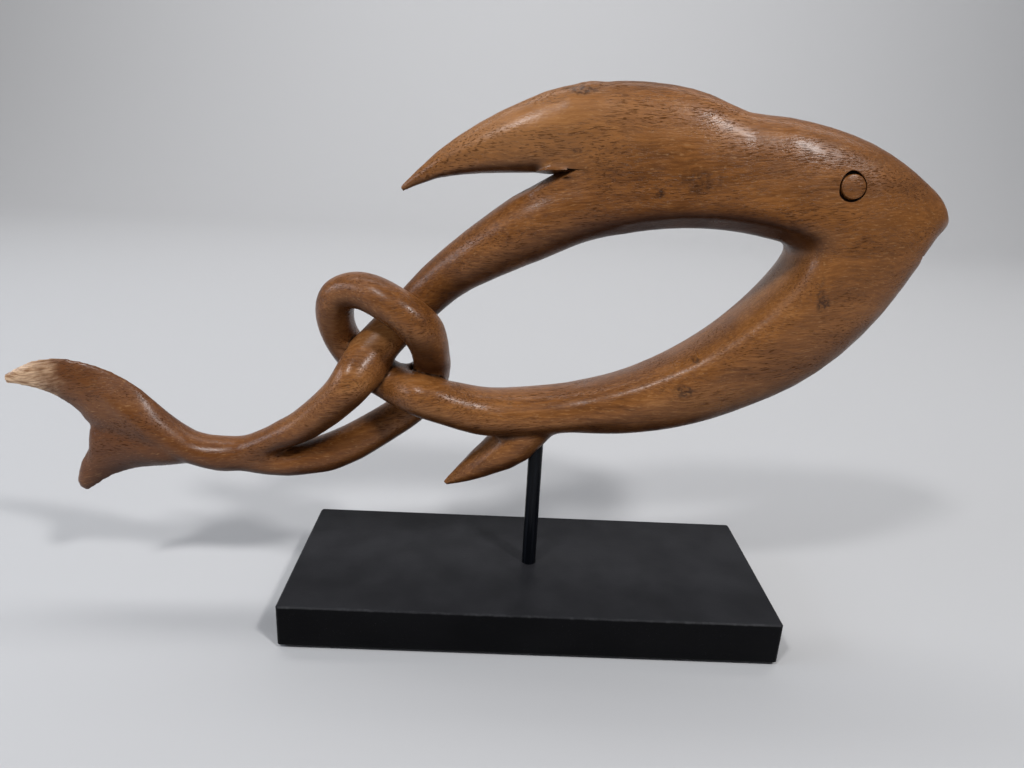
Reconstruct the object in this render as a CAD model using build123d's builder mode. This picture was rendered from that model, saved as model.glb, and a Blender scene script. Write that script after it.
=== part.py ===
"""Carved wooden fish, tied in an overhand knot behind its head, on a rod and a black base block.

The fish is one piece of wood. Its body splits behind the head into an upper and a lower limb, the
two limbs are carved as if tied in a knot, and they join again in the tail. A thin rod stands in
the base, held by a shoulder screw on which it turns, and the fish lifts off the rod.

Frame: origin at the centre of the resting face, +X towards the snout, +Z up, millimetres.
"""

import os

from build123d import *

os.makedirs("parts", exist_ok=True)

# Base block and the felt sheet under it
base_length = 200
base_width = 80
base_thickness = 18
base_edge_chamfer = 0.6
base_corner_radius = 1.5
felt_thickness = 1.2
felt_margin = 2
felt_corner_radius = 4

# Rod, and the shoulder screw and washer that hold its foot from below and let it turn
rod_diameter = 6
rod_length = 84
rod_end_chamfer = 0.6
running_clearance = 0.05
web_thickness = 3
counterbore_diameter = 13
counterbore_depth = 5
washer_diameter = 10
washer_thickness = 0.8
shoulder_diameter = 4
shoulder_clearance = 0.2
end_play = 0.05
thread_diameter = 3
thread_length = 8
thread_clearance = 0.02
tapped_hole_spare_depth = 2
screw_head_diameter = 7
screw_head_height = 1.8
screw_slot_width = 0.8
screw_slot_depth = 0.9

# Fish carving, over all
fish_length = 368
fish_height = 173
fish_depth = 40
socket_overrun = 60

# Eyes: round plugs in drilled sockets, each with a groove cut round it, leaning with the flank
eye_diameter = 8.8
eye_plug_length = 7
eye_stand = 0.3
eye_fit_clearance = 0.03
eye_groove_width = 0.7
eye_groove_depth = 1.6
eye_edge_chamfer = 0.4
eye_overrun = 6
eye_x_share = 0.285
eye_z_share = 0.537
eye_flank_share = 0.422
eye_lean_share = 0.28

# Mouth: a notch across the front of the jaw
mouth_width = 30
mouth_depth = 3
mouth_gape = 2.8
mouth_angle = 153
mouth_x_share = 0.379
mouth_z_share = 0.392

# Cross-sections between those in the tables: the weights of the near and the far neighbours
near_share = 9 / 16
far_share = 1 / 16

# The limbs' cross-sections: how blunt the edges are and how far the flanks stay flat, as shares of
# half the depth and of half the width
limb_edge_share = 0.58
limb_flat_share = 0.62

# The body as a plank, one upright cross-section a row: x, the belly's z, the back's z, the depth,
# how blunt the belly's and the back's edges are, and how far the flanks stay flat.
# Here and below x is a share of the fish's length from the rod, z of its height from the rod's top,
# side and depth of its depth.
body_shares = [
    (0.008, -0.058, 0.694, 0.54, 0.95, 0.30, 0.90),
    (0.054, -0.063, 0.718, 0.77, 0.95, 0.30, 0.90),
    (0.109, -0.052, 0.717, 0.85, 0.90, 0.35, 0.88),
    (0.149, -0.036, 0.701, 0.90, 0.85, 0.40, 0.86),
    (0.188, -0.010, 0.671, 0.94, 0.80, 0.50, 0.84),
    (0.228, 0.027, 0.665, 0.98, 0.75, 0.60, 0.80),
    (0.272, 0.077, 0.649, 0.99, 0.70, 0.60, 0.76),
    (0.313, 0.149, 0.623, 0.95, 0.65, 0.60, 0.72),
    (0.348, 0.243, 0.587, 0.84, 0.60, 0.55, 0.68),
    (0.375, 0.350, 0.549, 0.68, 0.55, 0.55, 0.64),
    (0.391, 0.421, 0.522, 0.50, 0.55, 0.55, 0.60),
    (0.402, 0.440, 0.490, 0.28, 0.55, 0.55, 0.60),
    (0.407, 0.453, 0.473, 0.10, 0.55, 0.55, 0.60),
]

# The opening between the limbs: how much of the half depth its walls stand square to the flanks,
# and how far the cut runs past the deepest flank
wall_share = 0.35
rim_overrun_share = 1.12

# The opening's upper and lower edges, each a curve with four guide points (x, z), at mid depth
# and at the flanks, where the rims are rounded off
opening_top_shares = [(0.258, 0.395), (0.190, 0.441), (0.095, 0.461), (-0.033, 0.328)]
opening_low_shares = [(0.258, 0.395), (0.223, 0.247), (0.130, 0.062), (-0.033, 0.022)]
rim_top_shares = [(0.276, 0.420), (0.200, 0.492), (0.095, 0.520), (-0.033, 0.400)]
rim_low_shares = [(0.276, 0.420), (0.233, 0.228), (0.134, 0.022), (-0.033, -0.040)]

# Each row of the next four tables is one cross-section of a limb or a fin: where its inner edge
# lies (x, z), where its outer edge lies (x, z), how far its middle stands to the side, and its depth.

# The lower limb: left from the belly, behind the upper limb, up and round in a loop, over the upper
# limb in front, down behind itself, and along to the root of the tail
lower_limb_shares = [
    (0.080, 0.066, 0.085, -0.042, 0.0, 0.73),
    (0.010, 0.044, 0.010, -0.068, 0.0, 0.70),
    (-0.040, 0.035, -0.040, -0.073, -0.050, 0.62),
    (-0.070, 0.042, -0.068, -0.067, -0.110, 0.56),
    (-0.107, 0.064, -0.099, -0.043, -0.200, 0.48),
    (-0.132, 0.072, -0.135, -0.022, -0.190, 0.47),
    (-0.150, 0.079, -0.165, -0.006, -0.050, 0.47),
    (-0.169, 0.091, -0.193, 0.011, 0.130, 0.47),
    (-0.190, 0.113, -0.218, 0.043, 0.240, 0.46),
    (-0.205, 0.149, -0.239, 0.112, 0.200, 0.45),
    (-0.205, 0.194, -0.246, 0.198, 0.075, 0.45),
    (-0.203, 0.216, -0.234, 0.266, 0.0, 0.45),
    (-0.194, 0.216, -0.202, 0.299, -0.100, 0.45),
    (-0.182, 0.210, -0.172, 0.294, -0.190, 0.45),
    (-0.162, 0.188, -0.147, 0.272, -0.250, 0.45),
    (-0.148, 0.163, -0.123, 0.239, -0.260, 0.45),
    (-0.141, 0.136, -0.106, 0.196, -0.210, 0.45),
    (-0.141, 0.106, -0.100, 0.116, -0.050, 0.45),
    (-0.140, 0.057, -0.101, 0.048, 0.170, 0.45),
    (-0.147, 0.009, -0.116, -0.040, 0.245, 0.45),
    (-0.193, -0.058, -0.167, -0.125, 0.160, 0.45),
    (-0.246, -0.116, -0.229, -0.198, 0.075, 0.45),
    (-0.313, -0.155, -0.308, -0.212, 0.020, 0.42),
    (-0.340, -0.160, -0.340, -0.196, 0.0, 0.22),
]

# The upper limb: from the notch under the back fin down through the knot to the root of the tail
upper_limb_shares = [
    (0.075, 0.430, 0.062, 0.550, 0.0, 0.73),
    (0.014, 0.362, -0.010, 0.512, 0.0, 0.70),
    (-0.022, 0.328, -0.058, 0.446, 0.015, 0.65),
    (-0.076, 0.268, -0.109, 0.354, 0.100, 0.55),
    (-0.104, 0.219, -0.138, 0.292, 0.210, 0.49),
    (-0.132, 0.158, -0.168, 0.218, 0.200, 0.475),
    (-0.158, 0.100, -0.201, 0.149, 0.012, 0.475),
    (-0.176, 0.045, -0.215, 0.106, -0.190, 0.475),
    (-0.192, 0.002, -0.231, 0.045, -0.210, 0.475),
    (-0.246, -0.098, -0.276, -0.050, -0.100, 0.45),
    (-0.318, -0.163, -0.327, -0.112, -0.020, 0.40),
    (-0.350, -0.176, -0.350, -0.140, 0.0, 0.20),
]

# The free end of the back fin, from inside the body to its tip
back_fin_shares = [
    (0.075, 0.535, 0.075, 0.710, 0.0, 0.50),
    (0.010, 0.529, 0.010, 0.705, 0.0, 0.53),
    (-0.033, 0.525, -0.033, 0.671, 0.0, 0.49),
    (-0.076, 0.519, -0.076, 0.623, 0.0, 0.40),
    (-0.117, 0.505, -0.117, 0.561, 0.0, 0.25),
    (-0.152, 0.474, -0.154, 0.484, 0.0, 0.05),
]

# The fin under the belly, where the rod goes in
belly_fin_shares = [
    (0.033, -0.035, -0.025, 0.010, 0.0, 0.50),
    (-0.008, -0.137, -0.054, -0.086, 0.0, 0.52),
    (-0.041, -0.176, -0.073, -0.132, 0.0, 0.40),
    (-0.071, -0.202, -0.090, -0.176, 0.0, 0.25),
    (-0.100, -0.221, -0.105, -0.211, 0.0, 0.06),
]

# The tail has an edge on each side. Each row of its tables is one cross-section: where its two
# edges lie (x, z each), its depth, and how full it is towards each edge.

# The tail's root and its upper lobe
tail_upper_shares = [
    (-0.312, -0.180, -0.312, -0.135, 0.16, 0.85, 0.85),
    (-0.334, -0.203, -0.334, -0.117, 0.42, 0.85, 0.85),
    (-0.359, -0.205, -0.359, -0.120, 0.42, 0.80, 0.85),
    (-0.389, -0.192, -0.386, -0.110, 0.39, 0.75, 0.80),
    (-0.429, -0.175, -0.414, -0.062, 0.36, 0.50, 0.70),
    (-0.465, -0.154, -0.440, -0.005, 0.30, 0.40, 0.60),
    (-0.495, -0.120, -0.470, 0.035, 0.22, 0.40, 0.55),
    (-0.510, -0.072, -0.500, 0.055, 0.16, 0.40, 0.50),
    (-0.530, -0.038, -0.527, 0.061, 0.13, 0.40, 0.50),
    (-0.554, -0.016, -0.556, 0.050, 0.10, 0.40, 0.50),
    (-0.585, -0.006, -0.587, 0.014, 0.04, 0.40, 0.50),
]

# The tail's lower lobe
tail_lower_shares = [
    (-0.380, -0.134, -0.380, -0.186, 0.25, 0.70, 0.70),
    (-0.421, -0.099, -0.418, -0.200, 0.34, 0.50, 0.65),
    (-0.462, -0.079, -0.451, -0.210, 0.28, 0.45, 0.60),
    (-0.499, -0.097, -0.480, -0.231, 0.20, 0.40, 0.55),
    (-0.504, -0.155, -0.500, -0.258, 0.15, 0.40, 0.50),
    (-0.516, -0.199, -0.512, -0.275, 0.11, 0.40, 0.50),
    (-0.523, -0.246, -0.519, -0.273, 0.05, 0.40, 0.50),
]

# Heights that follow from the sizes above
base_bottom = felt_thickness
base_top = base_bottom + base_thickness
web_bottom = base_bottom + counterbore_depth
rod_foot = web_bottom + web_thickness
rod_top = rod_foot + rod_length
shoulder_length = web_thickness + end_play + washer_thickness
washer_bottom = rod_foot - shoulder_length
screw_bottom = washer_bottom - screw_head_height

# Radii of the holes, from what goes in them
rod_hole_radius = rod_diameter / 2 + running_clearance
shoulder_hole_radius = shoulder_diameter / 2 + shoulder_clearance
tapped_hole_radius = thread_diameter / 2 + thread_clearance
eye_bore_radius = eye_diameter / 2 + eye_fit_clearance
eye_groove_radius = eye_diameter / 2 + eye_groove_width


def place(x_share, z_share):
    """A point of the fish in its own plane, as x and z."""
    return x_share * fish_length, rod_top + z_share * fish_height


def across(inner, outer, side):
    """The plane of a cross-section between two points (x, z), and half the way between them."""
    way = Vector(outer[0] - inner[0], 0, outer[1] - inner[1])
    middle = ((inner[0] + outer[0]) / 2, side, (inner[1] + outer[1]) / 2)
    return Plane(middle, x_dir=way, z_dir=way.cross(Vector(0, 1, 0))), way.length / 2


def oval(plane, reach, half, low_rim, high_rim, flat):
    """A smooth closed cross-section, blunt at both ends."""
    with BuildSketch(plane) as outline:
        with BuildLine():
            Bezier((reach, 0), (reach, high_rim), (flat, half), (0, half))
            Bezier((0, half), (-flat, half), (-reach, low_rim), (-reach, 0))
            Bezier((-reach, 0), (-reach, -low_rim), (-flat, -half), (0, -half))
            Bezier((0, -half), (flat, -half), (reach, -high_rim), (reach, 0))
        make_face()
    return outline.sketch


def body_section(row):
    """An upright cross-section of the body."""
    x_share, low_share, high_share, depth_share, low_edge, high_edge, flat_share = row
    plane, reach = across(place(x_share, low_share), place(x_share, high_share), 0)
    half = depth_share * fish_depth / 2
    return oval(plane, reach, half, low_edge * half, high_edge * half, flat_share * reach)


def limb_section(row):
    """A cross-section of a limb."""
    plane, reach = across(place(row[0], row[1]), place(row[2], row[3]), row[4] * fish_depth)
    half = row[5] * fish_depth / 2
    rim = limb_edge_share * half
    return oval(plane, reach, half, rim, rim, limb_flat_share * reach)


def fin_section(row):
    """A cross-section of a fin."""
    plane, reach = across(place(row[0], row[1]), place(row[2], row[3]), row[4] * fish_depth)
    with BuildSketch(plane) as outline:
        Ellipse(reach, row[5] * fish_depth / 2)
    return outline.sketch


def tail_section(row):
    """A cross-section of the tail, with an edge at both ends."""
    plane, reach = across(place(row[0], row[1]), place(row[2], row[3]), 0)
    swell = row[4] * fish_depth * 2 / 3
    inner = -row[5] * reach
    outer = row[6] * reach
    with BuildSketch(plane) as outline:
        with BuildLine():
            Bezier((-reach, 0), (inner, swell), (outer, swell), (reach, 0))
            Bezier((reach, 0), (outer, -swell), (inner, -swell), (-reach, 0))
        make_face()
    return outline.sketch


def opening_section(side, top_shares, low_shares):
    """The opening between the limbs, cut square to the fish's depth at one side."""
    top = [place(*share) for share in top_shares]
    low = [place(*share) for share in low_shares]
    with BuildSketch(Plane.XZ.offset(-side)) as outline:
        with BuildLine():
            Bezier(*top)
            Line(top[-1], low[-1])
            Bezier(*reversed(low))
        make_face()
    return outline.sketch


def smoothed(rows):
    """The rows with one more between each two, on a smooth curve through them all."""
    padded = [rows[0], *rows, rows[-1]]
    result = [rows[0]]
    for before, start, end, after in zip(padded, padded[1:], padded[2:], padded[3:]):
        between = [
            near_share * (b + c) - far_share * (a + d)
            for a, b, c, d in zip(before, start, end, after)
        ]
        result += [between, end]
    return result


def eye_plane(side):
    """Where the eye's axis meets the flank, facing outwards, for side -1 (right) or 1 (left)."""
    x, z = place(eye_x_share, eye_z_share)
    flank = side * eye_flank_share * fish_depth
    return Plane((x, flank, z), x_dir=(1, 0, 0), z_dir=(0, side, eye_lean_share))


strands = [
    [limb_section(row) for row in smoothed(upper_limb_shares)],
    [limb_section(row) for row in smoothed(lower_limb_shares)],
    [fin_section(row) for row in smoothed(back_fin_shares)],
    [fin_section(row) for row in smoothed(belly_fin_shares)],
    [tail_section(row) for row in smoothed(tail_upper_shares)],
    [tail_section(row) for row in smoothed(tail_lower_shares)],
]
wall = wall_share * fish_depth / 2
rim = rim_overrun_share * fish_depth / 2

# Fish carving: the plank-like body, pierced by the opening, then the limbs and fins,
# then the socket for the rod, the mouth and the eye sockets
with BuildPart() as fish_carving:
    loft([body_section(row) for row in smoothed(body_shares)], ruled=True)
    opening_sides = [
        opening_section(-rim, rim_top_shares, rim_low_shares),
        opening_section(-wall, opening_top_shares, opening_low_shares),
        opening_section(wall, opening_top_shares, opening_low_shares),
        opening_section(rim, rim_top_shares, rim_low_shares),
    ]
    loft(opening_sides, ruled=True, mode=Mode.SUBTRACT)
    for sections in strands:
        pairs = zip(sections, sections[1:])
        add([loft(pair, ruled=True, mode=Mode.PRIVATE) for pair in pairs])
    with BuildSketch(Plane.XY.offset(rod_top)):
        Circle(rod_hole_radius)
    extrude(amount=-socket_overrun, mode=Mode.SUBTRACT)
    with BuildSketch(Plane.XZ):
        with Locations(place(mouth_x_share, mouth_z_share)):
            Polygon(
                (mouth_depth, 0),
                (-mouth_depth, mouth_gape),
                (-mouth_depth, -mouth_gape),
                rotation=mouth_angle,
                align=None,
            )
    extrude(amount=mouth_width / 2, both=True, mode=Mode.SUBTRACT)
    for side in (-1, 1):
        with BuildSketch(eye_plane(side).offset(-eye_groove_depth)):
            Circle(eye_groove_radius)
        extrude(amount=eye_overrun, mode=Mode.SUBTRACT)
        with BuildSketch(eye_plane(side).offset(eye_stand - eye_plug_length)):
            Circle(eye_bore_radius)
        extrude(amount=eye_plug_length, mode=Mode.SUBTRACT)
fish_carving.part.label = "fish_carving"
export_step(fish_carving.part, "parts/fish_carving.step")

# Eye plug on the right flank
with BuildPart() as eye_plug_right:
    with BuildSketch(eye_plane(-1).offset(eye_stand - eye_plug_length)):
        Circle(eye_diameter / 2)
    extrude(amount=eye_plug_length)
    chamfer(eye_plug_right.faces().sort_by(Axis.Y)[0].edges(), eye_edge_chamfer)
eye_plug_right.part.label = "eye_plug_right"
export_step(eye_plug_right.part, "parts/eye_plug_right.step")

# Eye plug on the left flank
with BuildPart() as eye_plug_left:
    with BuildSketch(eye_plane(1).offset(eye_stand - eye_plug_length)):
        Circle(eye_diameter / 2)
    extrude(amount=eye_plug_length)
    chamfer(eye_plug_left.faces().sort_by(Axis.Y)[-1].edges(), eye_edge_chamfer)
eye_plug_left.part.label = "eye_plug_left"
export_step(eye_plug_left.part, "parts/eye_plug_left.step")

# Rod, with a tapped hole in its foot
with BuildPart() as support_rod:
    with BuildSketch(Plane.XY.offset(rod_foot)):
        Circle(rod_diameter / 2)
    extrude(amount=rod_length)
    chamfer(support_rod.faces().sort_by(Axis.Z)[-1].edges(), rod_end_chamfer)
    with BuildSketch(Plane.XY.offset(rod_foot)):
        Circle(tapped_hole_radius)
    extrude(amount=thread_length + tapped_hole_spare_depth, mode=Mode.SUBTRACT)
support_rod.part.label = "support_rod"
export_step(support_rod.part, "parts/support_rod.step")

# Shoulder screw, its shoulder tight against the rod's foot
with BuildPart() as fixing_screw:
    with BuildSketch(Plane.XY.offset(screw_bottom)):
        Circle(screw_head_diameter / 2)
    extrude(amount=screw_head_height)
    with BuildSketch(Plane.XY.offset(washer_bottom)):
        Circle(shoulder_diameter / 2)
    extrude(amount=shoulder_length)
    with BuildSketch(Plane.XY.offset(rod_foot)):
        Circle(thread_diameter / 2)
    extrude(amount=thread_length)
    with BuildSketch(Plane.XY.offset(screw_bottom)):
        Rectangle(screw_head_diameter, screw_slot_width)
    extrude(amount=screw_slot_depth, mode=Mode.SUBTRACT)
fixing_screw.part.label = "fixing_screw"
export_step(fixing_screw.part, "parts/fixing_screw.step")

# Washer between the screw's head and the web of the base
with BuildPart() as fixing_washer:
    with BuildSketch(Plane.XY.offset(washer_bottom)):
        Circle(washer_diameter / 2)
        Circle(shoulder_hole_radius, mode=Mode.SUBTRACT)
    extrude(amount=washer_thickness)
fixing_washer.part.label = "fixing_washer"
export_step(fixing_washer.part, "parts/fixing_washer.step")

# Base block, drilled for the rod from above and for the screw from below
with BuildPart() as base_block:
    with BuildSketch(Plane.XY.offset(base_bottom)):
        RectangleRounded(base_length, base_width, base_corner_radius)
    extrude(amount=base_thickness)
    ends = base_block.faces().sort_by(Axis.Z)
    chamfer(ends[0].edges() + ends[-1].edges(), base_edge_chamfer)
    with BuildSketch(Plane.XY.offset(base_top)):
        Circle(rod_hole_radius)
    extrude(amount=rod_foot - base_top, mode=Mode.SUBTRACT)
    with BuildSketch(Plane.XY.offset(base_bottom)):
        Circle(counterbore_diameter / 2)
    extrude(amount=counterbore_depth, mode=Mode.SUBTRACT)
    with BuildSketch(Plane.XY.offset(web_bottom)):
        Circle(shoulder_hole_radius)
    extrude(amount=web_thickness, mode=Mode.SUBTRACT)
base_block.part.label = "base_block"
export_step(base_block.part, "parts/base_block.step")

# Felt sheet under the base
with BuildPart() as base_felt:
    with BuildSketch():
        RectangleRounded(
            base_length - 2 * felt_margin,
            base_width - 2 * felt_margin,
            felt_corner_radius,
        )
    extrude(amount=felt_thickness)
base_felt.part.label = "base_felt"
export_step(base_felt.part, "parts/base_felt.step")
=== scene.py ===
import math

import bmesh
import bpy
import numpy as np
from mathutils import Matrix, Vector


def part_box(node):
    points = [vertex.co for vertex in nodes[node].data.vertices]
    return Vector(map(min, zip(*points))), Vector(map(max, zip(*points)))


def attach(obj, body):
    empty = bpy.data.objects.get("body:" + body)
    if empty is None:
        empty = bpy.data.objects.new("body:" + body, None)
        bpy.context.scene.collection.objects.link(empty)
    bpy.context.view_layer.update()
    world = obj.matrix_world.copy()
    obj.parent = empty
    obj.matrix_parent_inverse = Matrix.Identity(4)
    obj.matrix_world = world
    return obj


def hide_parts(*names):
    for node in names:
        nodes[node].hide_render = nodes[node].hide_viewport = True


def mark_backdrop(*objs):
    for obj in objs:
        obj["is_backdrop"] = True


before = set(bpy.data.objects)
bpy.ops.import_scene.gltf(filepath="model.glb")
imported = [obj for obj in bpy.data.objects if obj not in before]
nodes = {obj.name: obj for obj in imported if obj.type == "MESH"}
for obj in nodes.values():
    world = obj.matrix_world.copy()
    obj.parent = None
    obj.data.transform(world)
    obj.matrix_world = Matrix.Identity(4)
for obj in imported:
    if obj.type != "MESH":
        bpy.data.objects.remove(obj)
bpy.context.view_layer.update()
scene = bpy.context.scene
scene.view_settings.view_transform = "Standard"

MM = 0.001
SIDES = (-1, 1)  # the fish's right flank, which the camera sees, and its left

# Eyes: the left one's place, how far its axis leans up, its socket's radius, and the ring cut round it, in steps
EYE_PLACE = Vector((104.9, 16.9, 186.1)) * MM
EYE_LEAN = 0.28
EYE_RADIUS = 4.4 * MM
EYE_RING_DEPTH = 1.9 * MM
EYE_RING_TOP = 4 * MM
EYE_RING_STEPS = 64

# An eye plug's profile: radius and height over the flank (mm)
EYE_PROFILE = (
    (0, -6.2), (4.3, -6.2), (4.36, -0.35), (4.30, -0.08), (4.12, 0.10), (3.4, 0.19), (1.8, 0.26), (0, 0.28),
)

# How wide the ring cut round an eye is (mm) at angles round it (degrees), from the front upwards
RING_ANGLES = (0, 45, 80, 100, 130, 160, 190, 215, 240, 270, 300, 330)
RING_WIDTHS = (0.45, 0.6, 1.2, 1.35, 0.85, 0.6, 0.8, 1.5, 1.45, 1.0, 0.65, 0.5)

# The cylinder that closes an eye's socket before the sanding, and where its middle lies on the eye's axis
EYE_FILL_RADIUS = 5.25 * MM
EYE_FILL_DEPTH = 8 * MM
EYE_FILL_PLACE = -4.1 * MM

# The mouth's place and slope, and how far its cut reaches in and out, up and down and to each side (mm)
MOUTH = Vector((139.5, 0, 161.0))
MOUTH_ANGLE = math.radians(27)
MOUTH_DEPTH = 3
MOUTH_REACH = 8
MOUTH_GAPE = 5.3
MOUTH_SIDE = 16

# The hole for the rod, and the steps round it and round the cylinders in the eyes
ROD_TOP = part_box("support_rod")[1].z
SOCKET_RADIUS = 3.1 * MM
SOCKET_LENGTH = 60 * MM
SOCKET_SPARE = 0.1 * MM
ROUND_STEPS = 48

# The edges of the opening between the limbs and the lower limb's crest: curves with four guide points (x, z), in mm
OPENING_TOP = ((94.9, 161.5), (69.9, 169.5), (35.0, 173.0), (-12.1, 149.9))
OPENING_LOW = ((94.9, 161.5), (82.1, 135.9), (47.8, 103.9), (-12.1, 97.0))
LOWER_CREST = ((7.7, 97.9), (45.1, 104.6), (79.5, 127.8), (97.8, 161.4))

# The back fin's lower and upper edges: x, lower z and upper z (mm)
FIN_EDGES = ((-56.5, 175.2, 176.9), (-43, 180.6, 190.3), (-28, 183.0, 201.0), (-12, 184.0, 209.3), (4, 184.7, 215.2))

# Lumps that fill the carving out at the notch, the slit, the knot and the fin's top: place and radii (mm)
FILLS = (
    ((3, -5.8, 177), (13, 5.8, 11)),
    ((3, 5.8, 177), (13, 5.8, 11)),
    ((-116, -3.2, 66), (9, 5, 3.6)),
    ((-54, 4, 103), (7, 4, 4)),
    ((14, 0, 211.7), (12.5, 5, 5.3)),
)

# The ridge carved along the tail, from end to end (x, z), its height and half its width, in mm
TAIL_RIDGE = ((-175.5, 91.6), (-156, 75.4))
RIDGE_HEIGHT = 1.0
RIDGE_WIDTH = 3.6

# The saw cut under the back fin: how far out from the middle, and its outline (x, z) there (mm)
NOTCH = (
    (0, ((0, 184.15), (-24, 182.4), (-24, 169.8))),
    (18, ((13.248, 188.47), (-24, 186.18), (-24, 166.2))),
)

# The knife mark that carries it on: its outlines outside the left flank and in the wood (mm)
GROOVE = (
    ((4, 18, 187.2), (4, 18, 186.0), (11.2, 18, 186.7)),
    ((4, 8, 186.9), (4, 8, 186.3), (11.2, 11, 186.7)),
)

# The facet along the belly fin's back edge: two points on its ridge and one on the edge, right flank, how far it
# runs on past the two points and to each side of the ridge, and how thick its cutter is (mm)
FACET = ((-27.0, -6.2, 64.5), (-17.1, -7.7, 76.8), (-27.3, -1.9, 69.5))
FACET_PAST = (22, 2.5)
FACET_SIDES = (5, 9)
FACET_THICK = 5

# Places that are rounded off: x, z, and the radii within which it is full and past which there is none (mm)
FIN_ROOT = (12, 194, 10, 22)
NOSE = (144.5, 167.5, 4, 9)
ROOTS = ((10, 165, 9, 20), (15, 92, 10, 22), (-117, 68, 9, 18))

# Sanding: the remesh's voxel, how many rounds each pass of smoothing takes, and from which angle an edge is sharp
VOXEL = 0.75 * MM
FIRST_ROUNDS = 25
SANDING_ROUNDS = 120
KNOT_ROUNDS = 150
KNOT_BACK_ROUNDS = 110
SOFT_ROUNDS = 90
CREST_ROUNDS = 260
SHARP_ANGLE = math.radians(48)

# Marks on the near flank: place (x, z), half sizes (mm) and how dark
MARKS = (
    ((8.5, 213.4), (9.5, 2.0), 0.80),  # stain on the fin's top
    ((6.6, 193.1), (2.8, 1.3), 0.60),  # scratches
    ((37.1, 180.1), (2.0, 1.7), 0.85),  # small knot
    ((99.2, 148.5), (1.8, 6.0), 0.55),  # dark spots on the cheek
    ((100.2, 144.0), (3.4, 3.4), 0.85),
    ((54.6, 106.7), (5.0, 3.2), 0.75),  # spots on the lower limb
    ((58.7, 118.4), (2.0, 1.6), 0.75),
    ((51.0, 185.0), (11.0, 6.0), 0.50),  # smudge on the flank
)

# The felt's corners, how far its edge draws in (mm) at each share of its thickness, how far the edge wavers (mm),
# and how its points are spaced along the sides and at the corners
FELT_CORNER = 4 * MM
FELT_EDGE = ((0.0, 0.40), (0.15, 0.12), (0.5, 0.0), (0.85, 0.12), (1.0, 0.40))
FELT_WAVER = 0.16
FELT_STEP = 2 * MM
CORNER_STEPS = 10

# The camera, fitted to the photograph: its place, its turns about X, Y and Z, and its focal length in pixels
CAMERA_PLACE = Vector((-18.37, -289.17, 200.0)) * MM
CAMERA_TURNS = (0.328894, -0.0242432, 0.0521295)
FOCAL_PIXELS = 752.72
IMAGE_WIDTH = 1024
SENSOR_WIDTH = 36

# The floor: where it starts, where it turns up, the turn's radius and steps, the backdrop's top and half the width (m)
FLOOR_FRONT, FLOOR_BACK, FLOOR_TURN, TURN_STEPS = -2.5, 1.2, 0.8, 16
WALL_TOP, HALF_FLOOR = 4.0, 4.0

# The place on the figurine that the lamps point at (m)
AIM = (0, 0, 0.13)


# Mesh helpers

def add_object(name, mesh):
    obj = bpy.data.objects.new(name, mesh)
    scene.collection.objects.link(obj)
    return obj


def applied(obj, name):
    """The mesh of obj with its modifiers, as a new mesh."""
    bpy.context.view_layer.update()
    seen = obj.evaluated_get(bpy.context.evaluated_depsgraph_get())
    mesh = bpy.data.meshes.new_from_object(seen)
    mesh.name = name
    return mesh


def points_of(mesh):
    co = np.zeros(len(mesh.vertices) * 3)
    mesh.vertices.foreach_get("co", co)
    return co.reshape(-1, 3)


def put_points(mesh, points):
    mesh.vertices.foreach_set("co", points.ravel())
    mesh.update()


def normals_of(mesh):
    no = np.zeros(len(mesh.vertices) * 3)
    mesh.vertex_normals.foreach_get("vector", no)
    return no.reshape(-1, 3)


class Web:
    """The edges of a mesh, for averaging a value over each point's neighbours."""

    def __init__(self, mesh):
        ends = np.zeros(len(mesh.edges) * 2, np.int64)
        mesh.edges.foreach_get("vertices", ends)
        ends = ends.reshape(-1, 2)
        self.a = np.concatenate([ends[:, 0], ends[:, 1]])
        self.b = np.concatenate([ends[:, 1], ends[:, 0]])
        self.count = len(mesh.vertices)
        self.degree = np.maximum(np.bincount(self.a, minlength=self.count), 1)

    def mean(self, values):
        flat = values.reshape(self.count, -1)
        sums = [np.bincount(self.a, weights=flat[self.b, k], minlength=self.count) for k in range(flat.shape[1])]
        return (np.stack(sums, 1) / self.degree[:, None]).reshape(values.shape)

    def blurred(self, values, rounds):
        for _ in range(rounds):
            values = 0.5 * values + 0.5 * self.mean(values)
        return values

    def relaxed(self, points, pull, rounds):
        """Moves each point towards the mean of its neighbours by the share pull, as often as rounds."""
        for _ in range(rounds):
            points = points + pull * (self.mean(points) - points)
        return points


def step(low, high, values):
    """0 up to low, 1 from high on, and smooth between; with low over high it falls instead."""
    t = np.clip((values - low) / (high - low), 0, 1)
    return t * t * (3 - 2 * t)


def eye_frame(side):
    """Where an eye sits: +Z out of the flank, for side -1 (right) or 1 (left)."""
    out = Vector((0, side, EYE_LEAN)).normalized()
    along = Vector((1, 0, 0))
    place = Vector((EYE_PLACE.x, side * EYE_PLACE.y, EYE_PLACE.z))
    turn = Matrix((along, out.cross(along), out)).transposed().to_4x4()
    return Matrix.Translation(place) @ turn


def built(name, bm):
    """An object with the mesh that bm holds."""
    mesh = bpy.data.meshes.new(name)
    bm.to_mesh(mesh)
    bm.free()
    return add_object(name, mesh)


def shell(name, rings, smooth=False):
    """A closed solid through rings with as many points each, with its sides shaded smooth if asked."""
    bm = bmesh.new()
    rings = [[bm.verts.new(point) for point in ring] for ring in rings]
    for lower, upper in zip(rings, rings[1:]):
        for i in range(len(lower)):
            j = (i + 1) % len(lower)
            bm.faces.new((lower[i], lower[j], upper[j], upper[i])).smooth = smooth
    bm.faces.new(rings[0][::-1])
    bm.faces.new(rings[-1])
    bmesh.ops.recalc_face_normals(bm, faces=bm.faces)
    return built(name, bm)


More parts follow.
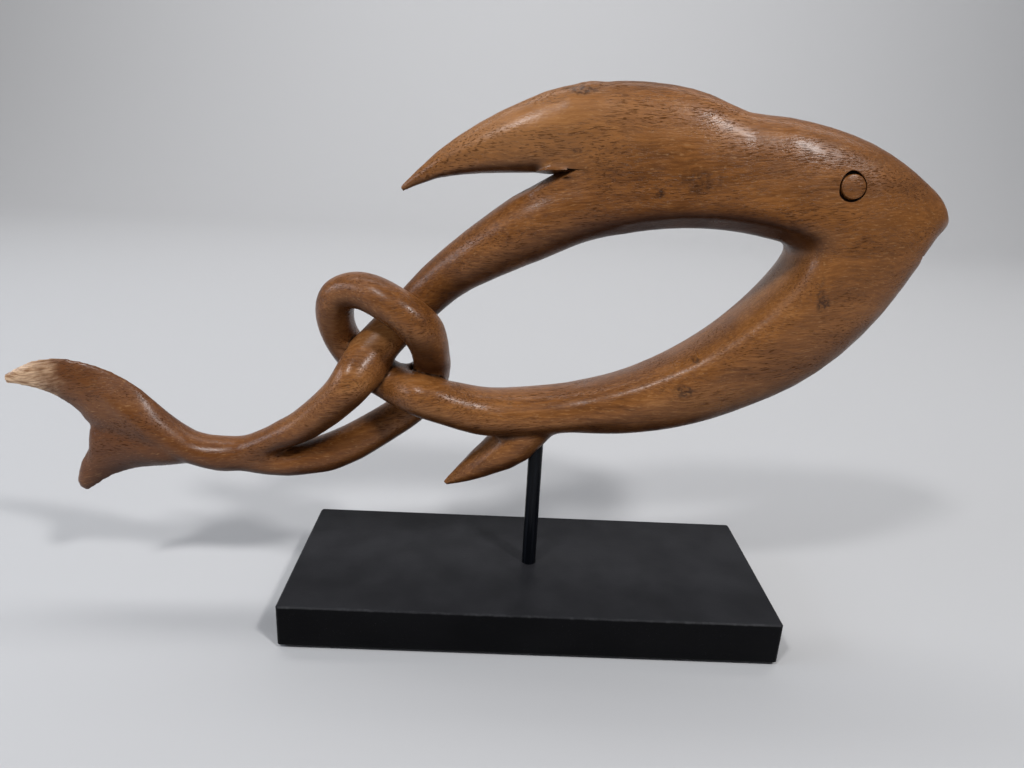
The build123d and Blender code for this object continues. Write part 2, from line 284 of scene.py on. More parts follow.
def around(count):
    """The cosine and sine for each of so many points round a circle."""
    turns = [2 * math.pi * i / count for i in range(count)]
    return [(math.cos(turn), math.sin(turn)) for turn in turns]


def drum(name, radii, low, high, matrix):
    """A closed drum with a radius for each step round it."""
    ways = around(len(radii))
    rings = [[matrix @ Vector((r * x, r * y, z)) for r, (x, y) in zip(radii, ways)] for z in (low, high)]
    return shell(name, rings)


def lathe(name, profile, matrix, segments=72):
    """A solid of revolution about +Z through the points (radius, height), the first and last on the axis."""
    bm = bmesh.new()
    rings = []
    for r, z in profile:
        ways = around(segments) if r else [(0, 0)]
        rings.append([bm.verts.new(matrix @ Vector((r * x, r * y, z))) for x, y in ways])
    for low, high in zip(rings, rings[1:]):
        for i in range(segments):
            j = (i + 1) % segments
            corners = [low[i % len(low)], low[j % len(low)], high[j % len(high)], high[i % len(high)]]
            bm.faces.new(list(dict.fromkeys(corners)))
    bmesh.ops.recalc_face_normals(bm, faces=bm.faces)
    obj = built(name, bm)
    obj.data.shade_smooth()
    return obj


def prism(name, first, second):
    """A closed solid between two outlines with as many corners each (mm)."""
    return shell(name, [[Vector(corner) * MM for corner in ring] for ring in (first, second)])


# Node helpers

class Tree:
    """A material's nodes, with short calls for those used here."""

    def __init__(self, name):
        self.material = bpy.data.materials.new(name)
        self.material.use_nodes = True
        self.nodes = self.material.node_tree.nodes
        self.links = self.material.node_tree.links
        self.shader = self.nodes["Principled BSDF"]

    def add(self, kind, **settings):
        made = self.nodes.new(kind)
        for key, value in settings.items():
            setattr(made, key, value)
        return made

    def put(self, socket, value):
        if isinstance(value, bpy.types.NodeSocket):
            self.links.new(value, socket)
        else:
            socket.default_value = value

    def coords(self):
        return self.add("ShaderNodeTexCoord").outputs["Object"]

    def scaled(self, vector, scale, offset=(0, 0, 0)):
        made = self.add("ShaderNodeMapping")
        self.put(made.inputs["Vector"], vector)
        made.inputs["Scale"].default_value = scale
        made.inputs["Location"].default_value = offset
        return made.outputs["Vector"]

    def noise(self, vector, detail=3.0, rough=0.5, distortion=0.0):
        made = self.add("ShaderNodeTexNoise")
        self.put(made.inputs["Vector"], vector)
        made.inputs["Scale"].default_value = 1.0
        made.inputs["Detail"].default_value = detail
        made.inputs["Roughness"].default_value = rough
        made.inputs["Distortion"].default_value = distortion
        return made.outputs["Fac"]

    def range(self, value, low, high, to_low=0.0, to_high=1.0):
        """The value's way from low to high as a smooth way from to_low to to_high."""
        made = self.add("ShaderNodeMapRange", interpolation_type="SMOOTHSTEP")
        self.put(made.inputs["Value"], value)
        made.inputs["From Min"].default_value = low
        made.inputs["From Max"].default_value = high
        made.inputs["To Min"].default_value = to_low
        made.inputs["To Max"].default_value = to_high
        return made.outputs["Result"]

    def math(self, operation, a, b=0.0):
        made = self.add("ShaderNodeMath", operation=operation)
        self.put(made.inputs[0], a)
        self.put(made.inputs[1], b)
        return made.outputs[0]

    def times(self, a, b):
        return self.math("MULTIPLY", a, b)

    def plus(self, a, b):
        return self.math("ADD", a, b)

    def minus(self, a, b):
        return self.math("SUBTRACT", a, b)

    def larger(self, a, b):
        return self.math("MAXIMUM", a, b)

    def mix(self, factor, a, b):
        made = self.add("ShaderNodeMix", data_type="RGBA")
        self.put(made.inputs["Factor"], factor)
        self.put(made.inputs[6], a)
        self.put(made.inputs[7], b)
        return made.outputs[2]

    def ramp(self, value, stops):
        made = self.add("ShaderNodeValToRGB")
        self.put(made.inputs["Fac"], value)
        points = made.color_ramp.elements
        while len(points) < len(stops):
            points.new(0.5)
        for point, (place, colour) in zip(points, stops):
            point.position = place
            point.color = colour
        return made.outputs["Color"]

    def attribute(self, name):
        return self.add("ShaderNodeAttribute", attribute_name=name).outputs["Fac"]

    def split(self, vector):
        made = self.add("ShaderNodeSeparateXYZ")
        self.put(made.inputs["Vector"], vector)
        return made.outputs

    def spot(self, x, z, place, size, stir):
        """A ragged patch round a place in the fish's plane (mm), half as wide and as high as size."""
        off = [self.minus(axis, centre * MM) for axis, centre in zip((x, z), place)]
        off = [self.math("DIVIDE", part, half * MM) for part, half in zip(off, size)]
        square = [self.times(part, part) for part in off]
        away = self.math("SQRT", self.plus(*square))
        ragged = self.plus(away, self.times(self.minus(stir, 0.5), 1.6))
        return self.range(ragged, 1.0, 0.35)

    def bump(self, height, strength, distance):
        made = self.add("ShaderNodeBump")
        self.put(made.inputs["Height"], height)
        made.inputs["Strength"].default_value = strength
        made.inputs["Distance"].default_value = distance
        return made.outputs["Normal"]


def rgb(r, g, b):
    return (r, g, b, 1.0)


def carved_wood():
    """Oiled brown hardwood: broad figure, fibres and short dark pores along the grain, grime and painted shade in the
    crevices, painted shade in wide hollows, on undersides and under the opening's top, and painted light on the back
    and fin.
    """
    t = Tree("carved_wood")
    here = t.coords()
    x, y, z = t.split(here)

    # the grain runs along the fish, rises a little towards the head and waves
    sway = t.noise(t.scaled(here, (13, 13, 13)), detail=3.0)
    lift = t.times(t.minus(sway, 0.5), 0.020)
    lift = t.plus(lift, t.times(x, -0.10))
    along = t.add("ShaderNodeCombineXYZ")
    t.put(along.inputs[0], x)
    t.put(along.inputs[1], y)
    t.put(along.inputs[2], t.plus(z, lift))
    grain = along.outputs[0]

    figure = t.noise(t.scaled(grain, (9, 50, 60)), detail=5.0, rough=0.6)
    fibre = t.noise(t.scaled(grain, (120, 1100, 1250), (3, 1, 7)), detail=4.0, rough=0.65)
    cloud = t.noise(t.scaled(here, (18, 18, 18), (5, 5, 5)), detail=3.0)
    tone = t.plus(t.times(figure, 0.46), t.times(fibre, 0.36))
    tone = t.plus(tone, t.times(cloud, 0.28))
    colour = t.ramp(tone, [
        (0.40, rgb(0.068, 0.021, 0.0048)),
        (0.50, rgb(0.148, 0.051, 0.0112)),
        (0.58, rgb(0.235, 0.087, 0.021)),
        (0.70, rgb(0.390, 0.168, 0.051)),
    ])

    # the head is yellower, the knot and the tail are redder and darker
    head = t.range(x, 0.02, 0.13)
    colour = t.mix(t.times(head, 0.28), colour, rgb(0.270, 0.107, 0.028))
    knot = t.range(x, -0.03, -0.12)
    colour = t.mix(t.times(knot, 0.36), colour, rgb(0.125, 0.040, 0.011))
    tail = t.times(t.range(x, -0.135, -0.160), t.range(cloud, 0.35, 0.60, 0.25, 0.62))
    colour = t.mix(tail, colour, rgb(0.080, 0.025, 0.009))
    # painted light: the upper back and the fin are painted paler, where the light falls on them
    pale = t.times(t.range(z, 0.175, 0.200), t.range(x, 0.05, -0.02))
    colour = t.mix(t.times(pale, 0.42), colour, rgb(0.430, 0.200, 0.074))

    # pores: short dark dashes along the grain, in drifts, and pale flecks between them
    fine = t.noise(t.scaled(grain, (290, 2500, 2800), (1, 4, 2)), detail=2.0, rough=0.5)
    drift = t.noise(t.scaled(grain, (30, 90, 100), (8, 2, 4)), detail=3.0)
    dash = t.times(t.range(fine, 0.54, 0.64), t.range(drift, 0.36, 0.62))
    colour = t.mix(t.times(dash, 0.68), colour, rgb(0.050, 0.017, 0.005))
    chip = t.noise(t.scaled(grain, (380, 1900, 2000), (9, 3, 5)), detail=2.0)
    fleck = t.times(t.range(chip, 0.58, 0.72), t.range(drift, 0.66, 0.42))
    colour = t.mix(t.times(fleck, 0.30), colour, rgb(0.50, 0.27, 0.115))

    # marks on the near flank
    stir = t.noise(t.scaled(here, (210, 210, 210), (7, 7, 7)), detail=4.0, rough=0.6)
    dots = t.range(t.noise(t.scaled(here, (700, 700, 700), (3, 6, 1)), detail=2.0), 0.40, 0.56, 0.35, 1.0)
    near = t.times(t.range(y, 0.004, -0.002), dots)
    for place, size, depth in MARKS:
        mark = t.times(t.spot(x, z, place, size, stir), near)
        colour = t.mix(t.times(mark, depth), colour, rgb(0.035, 0.013, 0.005))

    # painted shade in wide hollows, on surfaces that face down and in a band under the opening's top; grime and
    # painted shade in the crevices; worn paler edges; pale end grain at the tip of the tail
    cavity = t.attribute("cavity")
    patch = t.noise(t.scaled(here, (150, 150, 150)), detail=3.0)
    # painted shade: the wide hollows darkened
    hollow = t.times(t.range(t.attribute("hollow"), 0.05, 0.95), 0.72)
    colour = t.mix(hollow, colour, rgb(0.030, 0.011, 0.005))
    # painted shade: surfaces that face down darkened, mottled
    below = t.times(t.attribute("below"), t.range(patch, 0.2, 0.7, 0.66, 0.88))
    colour = t.mix(below, colour, rgb(0.036, 0.012, 0.005))
    # painted shade: a band along the underside of the opening's top rim
    band = t.times(t.attribute("band"), t.range(patch, 0.2, 0.7, 0.55, 0.8))
    colour = t.mix(band, colour, rgb(0.036, 0.012, 0.005))
    # grime and painted shade: the creases darkened
    dirt_and_shade = t.times(t.range(cavity, 0.08, 0.75), t.range(patch, 0.1, 0.7, 0.75, 1.0))
    colour = t.mix(dirt_and_shade, colour, rgb(0.010, 0.005, 0.003))
    edge = t.attribute("edge")
    worn = t.times(t.range(edge, 0.45, 1.0), t.range(patch, 0.35, 0.65))
    colour = t.mix(t.times(worn, 0.14), colour, rgb(0.36, 0.20, 0.09))
    tip = t.plus(x, t.times(t.minus(patch, 0.5), 0.02))
    end = t.range(tip, -0.190, -0.206)
    end_grain = t.ramp(fibre, [(0.36, rgb(0.30, 0.15, 0.068)), (0.62, rgb(0.84, 0.58, 0.37))])
    colour = t.mix(t.times(end, 0.85), colour, end_grain)
    t.put(t.shader.inputs["Base Color"], colour)

    rough = t.range(t.noise(t.scaled(here, (90, 90, 90)), detail=4.0), 0.3, 0.7, 0.27, 0.40)
    rough = t.plus(rough, t.times(dash, 0.25))
    t.put(t.shader.inputs["Roughness"], t.plus(rough, t.times(dirt_and_shade, 0.3)))
    dull = t.larger(t.larger(dash, dirt_and_shade), t.larger(below, band))
    t.put(t.shader.inputs["Specular IOR Level"], t.range(dull, 0.0, 1.0, 0.30, 0.05))
    t.shader.inputs["Coat Weight"].default_value = 0.07
    t.shader.inputs["Coat Roughness"].default_value = 0.2
    height = t.minus(t.times(fibre, 0.45), t.times(dash, 0.7))
    pits = t.noise(t.scaled(here, (900, 1700, 1700)), detail=2.0)
    height = t.plus(height, t.times(pits, 0.55))
    t.put(t.shader.inputs["Normal"], t.bump(height, 0.7, 0.0002))
    return t.material


def black_paint():
    """Satin black paint on a board: faint brush texture, dust, worn arrises, and a top face painted lighter with dust
    and a painted sheen.
    """
    t = Tree("black_paint")
    here = t.coords()
    x, y, z = t.split(here)
    cloud = t.noise(t.scaled(here, (28, 40, 40)), detail=4.0)
    colour = t.mix(t.range(cloud, 0.3, 0.7), rgb(0.0024, 0.0024, 0.0030), rgb(0.0044, 0.0044, 0.0052))
    dust = t.noise(t.scaled(here, (2600, 2600, 2600)), detail=1.0)
    where = t.noise(t.scaled(here, (60, 60, 60), (4, 4, 4)), detail=2.0)
    speck = t.times(t.range(dust, 0.70, 0.76), t.range(where, 0.40, 0.62))
    colour = t.mix(t.times(speck, 0.30), colour, rgb(0.16, 0.16, 0.165))
    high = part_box("base_block")[1]
    # dust and painted sheen: the top face painted lighter
    dust_and_sheen = t.times(t.range(z, high.z - 0.0008, high.z - 0.0002), t.range(where, 0.2, 0.8, 0.35, 0.55))
    colour = t.mix(dust_and_sheen, colour, rgb(0.042, 0.042, 0.047))
    edge_x = t.range(t.math("ABSOLUTE", x), high.x - 0.0013, high.x - 0.0001)
    edge_y = t.range(t.math("ABSOLUTE", y), high.y - 0.0013, high.y - 0.0001)
    edge_z = t.range(z, high.z - 0.0013, high.z - 0.0001)
    arris = t.larger(t.times(edge_x, edge_z), t.times(edge_y, edge_z))
    arris = t.larger(arris, t.times(edge_x, edge_y))
    chip = t.noise(t.scaled(here, (240, 240, 240), (2, 9, 2)), detail=4.0, rough=0.65)
    worn = t.times(arris, t.range(chip, 0.45, 0.68))
    colour = t.mix(t.times(worn, 0.30), colour, rgb(0.08, 0.08, 0.085))
    t.put(t.shader.inputs["Base Color"], colour)
    rough = t.range(cloud, 0.25, 0.75, 0.36, 0.50)
    t.put(t.shader.inputs["Roughness"], t.plus(rough, t.times(speck, 0.3)))
    t.shader.inputs["Specular IOR Level"].default_value = 0.06
    brush = t.noise(t.scaled(here, (120, 1500, 1500)), detail=2.0)
    pits = t.noise(t.scaled(here, (900, 900, 900)), detail=3.0)
    height = t.plus(t.times(brush, 0.4), t.times(pits, 0.6))
    t.put(t.shader.inputs["Normal"], t.bump(height, 0.35, 0.00012))
    return t.material


def black_rod():
    """Blue-black semi-gloss enamel on a drawn rod, with fine rubs along it."""
    t = Tree("black_rod")
    here = t.coords()
    rub = t.noise(t.scaled(here, (700, 700, 24)), detail=3.0, rough=0.6)
    colour = t.mix(t.range(rub, 0.45, 0.75), rgb(0.0030, 0.0036, 0.0052), rgb(0.0085, 0.0098, 0.0135))
    t.put(t.shader.inputs["Base Color"], colour)
    t.put(t.shader.inputs["Roughness"], t.range(rub, 0.3, 0.7, 0.22, 0.34))
    t.shader.inputs["Specular IOR Level"].default_value = 0.12
    fine = t.noise(t.scaled(here, (1500, 1500, 200)), detail=2.0)
    t.put(t.shader.inputs["Normal"], t.bump(fine, 0.2, 0.00008))
    return t.material


def plain_steel():
    """Zinc-plated steel, turned."""
    t = Tree("plain_steel")
    here = t.coords()
    ring = t.noise(t.scaled(here, (900, 900, 3000)), detail=3.0)
    t.put(t.shader.inputs["Base Color"], t.mix(ring, rgb(0.42, 0.42, 0.43), rgb(0.58, 0.58, 0.60)))
    t.shader.inputs["Metallic"].default_value = 1.0
    t.put(t.shader.inputs["Roughness"], t.range(ring, 0.2, 0.8, 0.25, 0.42))
    t.put(t.shader.inputs["Normal"], t.bump(ring, 0.15, 0.00005))
    return t.material


def felt():
    """Black felt: matted fibres."""
    t = Tree("felt")
    here = t.coords()
    fibre = t.noise(t.scaled(here, (900, 1400, 1200)), detail=5.0, rough=0.7, distortion=1.5)
    t.put(t.shader.inputs["Base Color"], t.mix(fibre, rgb(0.012, 0.012, 0.013), rgb(0.05, 0.05, 0.052)))
    t.shader.inputs["Roughness"].default_value = 0.95
    t.shader.inputs["Sheen Weight"].default_value = 0.3
    t.put(t.shader.inputs["Normal"], t.bump(fibre, 0.8, 0.0004))
    return t.material


# Fish: the solid's shape, remeshed and sanded smooth, then drilled and cut again

def window(points, x, z, inner, outer):
    """1 within inner of a place in the fish's plane, falling to 0 at outer (all in mm)."""
    away = np.hypot(points[:, 0] / MM - x, points[:, 2] / MM - z)
    return 1 - step(inner, outer, away)


def curve(guides, count=48):
    """Points on the curve with four guide points."""
    t = np.linspace(0, 1, count)[:, None]
    a, b, c, d = (np.array(g) for g in guides)
    return (1 - t) ** 3 * a + 3 * (1 - t) ** 2 * t * b + 3 * (1 - t) * t * t * c + t ** 3 * d


def distance(flat, guides):
    """How far each place (x, z) is from the curve with these guide points, in mm."""
    away = np.full(len(flat), 1e3)
    for place in curve(guides):
        away = np.minimum(away, np.hypot(flat[:, 0] - place[0], flat[:, 1] - place[1]))
    return away


def soft_places(points):
    """How far the carving is rounded off at each point: a little at the opening's upper rim, more at the nose,
    and fully at the lower rim, the lower limb's crest, the roots and the eyes."""
    flat = points[:, (0, 2)] / MM
    ahead = step(-14, 4, flat[:, 0])
    soft = 0.2 * (1 - step(6, 13, distance(flat, OPENING_TOP))) * ahead
    soft = np.maximum(soft, (1 - step(8, 15, distance(flat, OPENING_LOW))) * ahead)
    soft = np.maximum(soft, 1 - step(4, 10, distance(flat, LOWER_CREST)))
    soft = np.maximum(soft, window(points, *FIN_ROOT) * (1 - step(203, 209, flat[:, 1])))
    soft = np.maximum(soft, 0.6 * window(points, *NOSE))
    for root in ROOTS:
        soft = np.maximum(soft, window(points, *root))
    return np.maximum(soft, window(points, EYE_PLACE.x / MM, EYE_PLACE.z / MM, 7, 10))


def sanded(mesh):
    """Smooths the loft bands, evens the knot and rounds the joins, then shapes the back fin and the tail's ridge."""
    web = Web(mesh)
    points = points_of(mesh)
    for pull in (0.5, -0.51) * FIRST_ROUNDS:
        points = web.relaxed(points, pull, 1)
    put_points(mesh, points)

    # fully where it is flat, little at creases, and more at those of the thin tail and fin
    flat = np.linalg.norm(web.blurred(normals_of(mesh), 10), axis=1)
    free = web.blurred(step(0.78, 0.91, flat), 3)
    x, z = points[:, 0] / MM, points[:, 2] / MM
    thin = np.maximum(step(-125, -140, x), step(-20, -35, x) * step(174, 178, z))
    free = np.maximum(free, 0.12 + 0.5 * thin)[:, None]
    for pull in (0.6, -0.604) * SANDING_ROUNDS:
        points = web.relaxed(points, pull * free, 1)

    # the limbs in the knot, evened out and brought back to their thickness
    x, z = points[:, 0] / MM, points[:, 2] / MM
    knot = step(-128, -108, x) * (1 - step(-48, -32, x)) * (1 - step(150, 165, z))
    even = (knot * web.blurred(step(0.92, 0.97, flat), 8))[:, None]
    calm = web.relaxed(points, 0.5 * even, KNOT_ROUNDS)
    points = calm + web.blurred(points - calm, KNOT_BACK_ROUNDS)

    # rims and roots, then the lower limb's crest once more
    points = web.relaxed(points, 0.5 * soft_places(points)[:, None], SOFT_ROUNDS)
    flat = points[:, (0, 2)] / MM
    crest = (1 - step(3, 10, distance(flat, LOWER_CREST))) * step(15, 35, flat[:, 0])
    points = web.relaxed(points, 0.5 * crest[:, None], CREST_ROUNDS)

    points = fin_shaped(points)
    put_points(mesh, points)
    put_points(mesh, points + tail_ridge(points)[:, None] * normals_of(mesh))


def fin_shaped(points):
    """Makes the back fin flat below and thin above."""
    x, z = points[:, 0] / MM, points[:, 2] / MM
    places, lows, highs = np.array(FIN_EDGES).T
    low, high = np.interp(x, places, lows), np.interp(x, places, highs)
    rise = (2 * z - low - high) / (high - low)
    here = step(-56, -46, x) * (1 - step(-6, 8, x)) * step(-1.06, -1.0, rise) * (1 - step(1.03, 1.2, rise))
    rise = np.clip(rise, -1, 1) ** 2 * np.sign(rise)
    wider = np.where(rise < 0, np.sqrt(1 - rise + rise * rise), 1 - 0.2 * rise)
    moved = points.copy()
    moved[:, 1] *= 1 + here * (wider - 1)
    return moved


def tail_ridge(points):
    """How far each point is lifted for the ridge along the tail's flanks."""
    first, last = (np.array(end) for end in TAIL_RIDGE)
    flat = points[:, (0, 2)] / MM - first
    length = np.linalg.norm(last - first)
    ahead = (last - first) / length
    along = flat @ ahead
    aside = flat[:, 1] * ahead[0] - flat[:, 0] * ahead[1]
    ends = step(-6, 5, along) * (1 - step(length - 5, length + 6, along))
    return RIDGE_HEIGHT * MM * ends * np.exp(-(aside / RIDGE_WIDTH) ** 2)


def drop_pockets(mesh):
    """Removes the shells of the closed pockets inside the knot, which are solid wood."""
    bm = bmesh.new()
    bm.from_mesh(mesh)
    left = set(bm.verts)
    pieces = []
    while left:
        piece, ahead = [], [left.pop()]
        while ahead:
            vert = ahead.pop()
            piece.append(vert)
            for edge in vert.link_edges:
                other = edge.other_vert(vert)
                if other in left:
                    left.remove(other)
                    ahead.append(other)
        pieces.append(piece)
    pieces.sort(key=len)
    bmesh.ops.delete(bm, geom=[vert for piece in pieces[:-1] for vert in piece], context="VERTS")
    bm.to_mesh(mesh)
    bm.free()


def fish_skin():
    """The carving's solid with its eyes closed and its hollows filled, as one fine sanded mesh."""
    rough = bmesh.new()
    rough.from_mesh(nodes["fish_carving"].data)
    for side in SIDES:
        bmesh.ops.create_cone(
            rough, cap_ends=True, segments=ROUND_STEPS, radius1=EYE_FILL_RADIUS, radius2=EYE_FILL_RADIUS,
            depth=EYE_FILL_DEPTH, matrix=eye_frame(side) @ Matrix.Translation((0, 0, EYE_FILL_PLACE)),
        )
    for place, size in FILLS:
        lump = Matrix.Translation(Vector(place) * MM) @ Matrix.Diagonal((*size, 1))
        bmesh.ops.create_icosphere(rough, subdivisions=4, radius=MM, matrix=lump)
    block = built("fish_block", rough)
    remesh = block.modifiers.new("remesh", "REMESH")
    remesh.mode = "VOXEL"
    remesh.voxel_size = VOXEL
    mesh = applied(block, "fish_skin")
    bpy.data.objects.remove(block)
    drop_pockets(mesh)
    sanded(mesh)
    return add_object("fish_skin", mesh)


def cut(obj, cutters):
    """Takes the cutters out of obj, and removes them."""
    for tool in cutters:
        modifier = obj.modifiers.new("cut", "BOOLEAN")
        modifier.operation = "DIFFERENCE"
        modifier.solver = "MANIFOLD"
        modifier.object = tool
    mesh = applied(obj, "fish_skin")
    obj.modifiers.clear()
    obj.data = mesh
    for tool in cutters:
        bpy.data.objects.remove(tool)


def eye_cutter(side):
    """The hand-cut ring round an eye, wider below at the back and at the top."""
    angles = np.arange(EYE_RING_STEPS) * 360 / EYE_RING_STEPS
    wide = np.interp(angles, RING_ANGLES, RING_WIDTHS, period=360)
    return drum("eye_cut", EYE_RADIUS + wide * MM, -EYE_RING_DEPTH, EYE_RING_TOP, eye_frame(side))


def mouth_cutter():
    """The wedge cut across the front of the jaw."""
    inward = Vector((-math.cos(MOUTH_ANGLE), 0, math.sin(MOUTH_ANGLE)))
    across = Vector((math.sin(MOUTH_ANGLE), 0, math.cos(MOUTH_ANGLE)))
    tip, front, half = MOUTH_DEPTH * inward, -MOUTH_REACH * inward, MOUTH_GAPE * across
    corners = [tip, front + half, front - half]
    near, far = ([MOUTH + c + Vector((0, side * MOUTH_SIDE, 0)) for c in corners] for side in SIDES)
    return prism("mouth_cut", near, far)


def notch_cutter(side):
    """The saw cut under the back fin: flat above and below, and longer on the flank than at the middle."""
    return prism("notch_cut", *([(x, y * side, z) for x, z in outline] for y, outline in NOTCH))


def groove_cutter(side):
    """The knife mark that carries the saw cut on into the flank."""
    return prism("groove_cut", *([(x, y * side, z) for x, y, z in outline] for outline in GROOVE))


def facet_cutter(side):
    """The flat along the belly fin's back edge, on one flank."""
    low, high, rim = (Vector((x, -y * side, z)) for x, y, z in FACET)
    ahead = (high - low).normalized()
    out = ahead.cross(rim - low).normalized() * -side
    over = (rim - low) - ahead * ahead.dot(rim - low)
    over.normalize()
    first, last = low - FACET_PAST[0] * ahead, high + FACET_PAST[1] * ahead
    inner, outer = (width * over for width in FACET_SIDES)
    corners = [first - inner, last - inner, last + outer, first + outer]
    return prism("facet_cut", corners, [c + FACET_THICK * out for c in corners])


def mark_wear_and_shade(mesh):
    """Stores where the wood is worn or grimy and where shade is painted: grime and painted shade in creases, worn
    edges, painted shade in wide hollows, on undersides and along the opening's top. Round the eyes only the ring's
    floor counts as a crease."""
    web = Web(mesh)
    points = points_of(mesh)
    # cavity marks creases for grime and painted shade, edge marks convex edges for wear
    inward = np.sum((web.blurred(points, 14) - points) * normals_of(mesh), axis=1)
    cavity = web.blurred(np.clip(inward / (0.42 * MM), 0, 1), 2)
    edge = web.blurred(np.clip(-inward / (0.45 * MM), 0, 1), 1)
    # painted shade: wide hollows, where the wood is darkened
    broad = np.sum((web.blurred(points, 90) - points) * normals_of(mesh), axis=1)
    hollow = web.blurred(np.clip(broad / (1.6 * MM), 0, 1), 12)
    # painted shade: points whose normals face down
    below = web.blurred(step(0.0, -0.7, normals_of(mesh)[:, 2]), 4)
    flat = points[:, (0, 2)] / MM
    edge *= step(4, 10, distance(flat, LOWER_CREST))
    # painted shade: a band along the opening's top rim
    away = distance(flat, OPENING_TOP)
    band = (1 - step(6, 12.5, away)) * step(-5, 28, flat[:, 0]) * (1 - step(84, 95, flat[:, 0]))
    for side in SIDES:
        local = eye_frame(side).inverted()
        turn = np.array(local.to_3x3())
        seen = points @ turn.T + np.array(local.translation)
        across = np.hypot(seen[:, 0], seen[:, 1])
        sunk = (across < 6.2 * MM) & (np.abs(seen[:, 2] + EYE_RING_DEPTH) < 0.15 * MM)
        by_eye = (across < 11 * MM) & (np.abs(seen[:, 2]) < 9 * MM)
        for values in (cavity, edge, hollow):
            values[by_eye] = 0
        cavity[sunk] = 1
    wear_and_shade = {"cavity": cavity, "edge": edge, "hollow": hollow, "below": below, "band": band}
    for name, values in wear_and_shade.items():
        layer = mesh.attributes.new(name, "FLOAT", "POINT")
        layer.data.foreach_set("value", values.astype(np.float32))


def felt_sheet():
    """The felt under the base, cut by hand: its edge is soft and wavers a little."""
    low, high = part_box("base_felt")
    along, across = high.x - FELT_CORNER, high.y - FELT_CORNER
    corners = [Vector((x * along, y * across, 0)) for x, y in ((1, 1), (-1, 1), (-1, -1), (1, -1))]
    places = []
    for quarter, here in enumerate(corners):
        for i in range(CORNER_STEPS):
            turn = math.pi / 2 * (quarter + i / (CORNER_STEPS - 1))
            out = Vector((math.cos(turn), math.sin(turn), 0))
            places.append((here, out))
        there = corners[(quarter + 1) % len(corners)]
        steps = int((there - here).length / FELT_STEP)
        places += [(here.lerp(there, i / steps), out) for i in range(1, steps)]
    rings = []
    for share, inset in FELT_EDGE:
        ring = []
        for place, out in places:
            spot = place + out * FELT_CORNER
            waver = 0.5 + 0.3 * math.sin(900 * spot.x + 1300 * spot.y)
            waver += 0.2 * math.sin(2900 * spot.x - 2300 * spot.y)
            spot -= out * MM * (inset + FELT_WAVER * waver)
            spot.z = low.z + share * (high.z - low.z)
            ring.append(spot)
        rings.append(ring)
    return shell("felt_sheet", rings, smooth=True)


# The pieces

wood = carved_wood()
skin = fish_skin()
radii = [SOCKET_RADIUS] * ROUND_STEPS
socket = drum("socket_cut", radii, ROD_TOP - SOCKET_LENGTH, ROD_TOP + SOCKET_SPARE, Matrix.Identity(4))
cutters = [make(side) for make in (eye_cutter, notch_cutter, groove_cutter, facet_cutter) for side in SIDES]
cut(skin, cutters + [socket, mouth_cutter()])
mark_wear_and_shade(skin.data)
skin.data.shade_smooth()
skin.data.set_sharp_from_angle(angle=SHARP_ANGLE)
skin.data.materials.clear()
skin.data.materials.append(wood)
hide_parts("fish_carving")
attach(skin, "fish")

for side, name in zip(SIDES, ("eye_plug_right", "eye_plug_left")):
    eye = lathe(name + "_disc", [(r * MM, z * MM) for r, z in EYE_PROFILE], eye_frame(side))
    eye.data.materials.append(wood)
    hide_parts(name)
    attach(eye, "fish")

for name, make in (
    ("base_block", black_paint),
    ("support_rod", black_rod),
    ("fixing_screw", plain_steel),
    ("fixing_washer", plain_steel),
):
    mesh = nodes[name].data
    mesh.materials.clear()
    mesh.materials.append(make())

sheet = felt_sheet()
sheet.data.materials.append(felt())
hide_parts("base_felt")
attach(sheet, "stand")


# Floor, light and camera

def stage_material(name, colour):
    t = Tree(name)
    t.shader.inputs["Base Color"].default_value = colour
    t.shader.inputs["Roughness"].default_value = 0.7
    return t.material


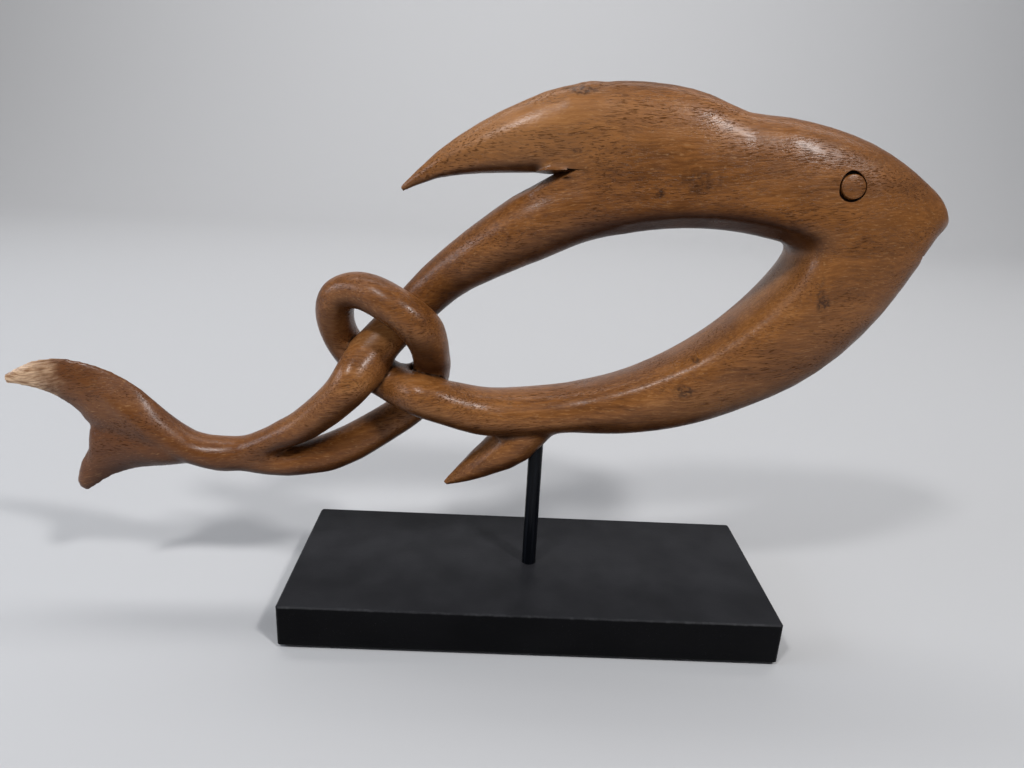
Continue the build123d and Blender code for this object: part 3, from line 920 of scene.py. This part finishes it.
def sweep():
    """A pale floor that curves up into a backdrop."""
    profile = [(FLOOR_FRONT, 0.0), (FLOOR_BACK, 0.0)]
    for i in range(1, TURN_STEPS + 1):
        a = math.pi / 2 * i / TURN_STEPS
        profile.append((FLOOR_BACK + FLOOR_TURN * math.sin(a), FLOOR_TURN - FLOOR_TURN * math.cos(a)))
    profile.append((FLOOR_BACK + FLOOR_TURN, WALL_TOP))
    verts = [(x, y, z) for y, z in profile for x in (-HALF_FLOOR, HALF_FLOOR)]
    faces = [(2 * i, 2 * i + 1, 2 * i + 3, 2 * i + 2) for i in range(len(profile) - 1)]
    mesh = bpy.data.meshes.new("floor")
    mesh.from_pydata(verts, [], faces)
    mesh.shade_smooth()
    mesh.materials.append(stage_material("floor", rgb(0.54, 0.54, 0.55)))
    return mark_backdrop(add_object("floor", mesh))


def lamp(name, place, target, size, power, colour=(1, 1, 1)):
    light = bpy.data.lights.new(name, "AREA")
    light.shape = "RECTANGLE"
    light.size, light.size_y = size
    light.energy = power
    light.color = colour
    obj = add_object(name, light)
    obj.location = place
    obj.rotation_euler = (Vector(target) - Vector(place)).to_track_quat("-Z", "Y").to_euler()


sweep()
lamp("key", (0.68, -0.76, 1.22), AIM, (0.16, 0.16), 11)
lamp("left", (-0.52, -0.72, 1.24), AIM, (0.16, 0.16), 7)
lamp("window", (-1.17, -0.25, 0.57), AIM, (0.75, 0.48), 6, (0.80, 0.88, 1.0))
lamp("wall", (0, 0.60, 1.60), (0, 1.8, 0.45), (2.4, 0.8), 26)
world = bpy.data.worlds.new("studio")
scene.world = world
world.use_nodes = True
sky = world.node_tree.nodes["Background"]
sky.inputs["Color"].default_value = rgb(0.95, 0.97, 1.0)
sky.inputs["Strength"].default_value = 0.13

lens = bpy.data.cameras.new("camera")
lens.sensor_width = SENSOR_WIDTH
lens.lens = SENSOR_WIDTH * FOCAL_PIXELS / IMAGE_WIDTH
lens.clip_start = 0.01
camera = add_object("camera", lens)
rx, ry, rz = CAMERA_TURNS
tilt = Matrix.Rotation(rz, 3, "Z") @ Matrix.Rotation(rx, 3, "X") @ Matrix.Rotation(ry, 3, "Y")
rows = tilt @ Matrix(((1, 0, 0), (0, 0, -1), (0, 1, 0)))
axes = Matrix((rows[0], -rows[1], -rows[2])).transposed()
camera.matrix_world = Matrix.Translation(CAMERA_PLACE) @ axes.to_4x4()
scene.camera = camera
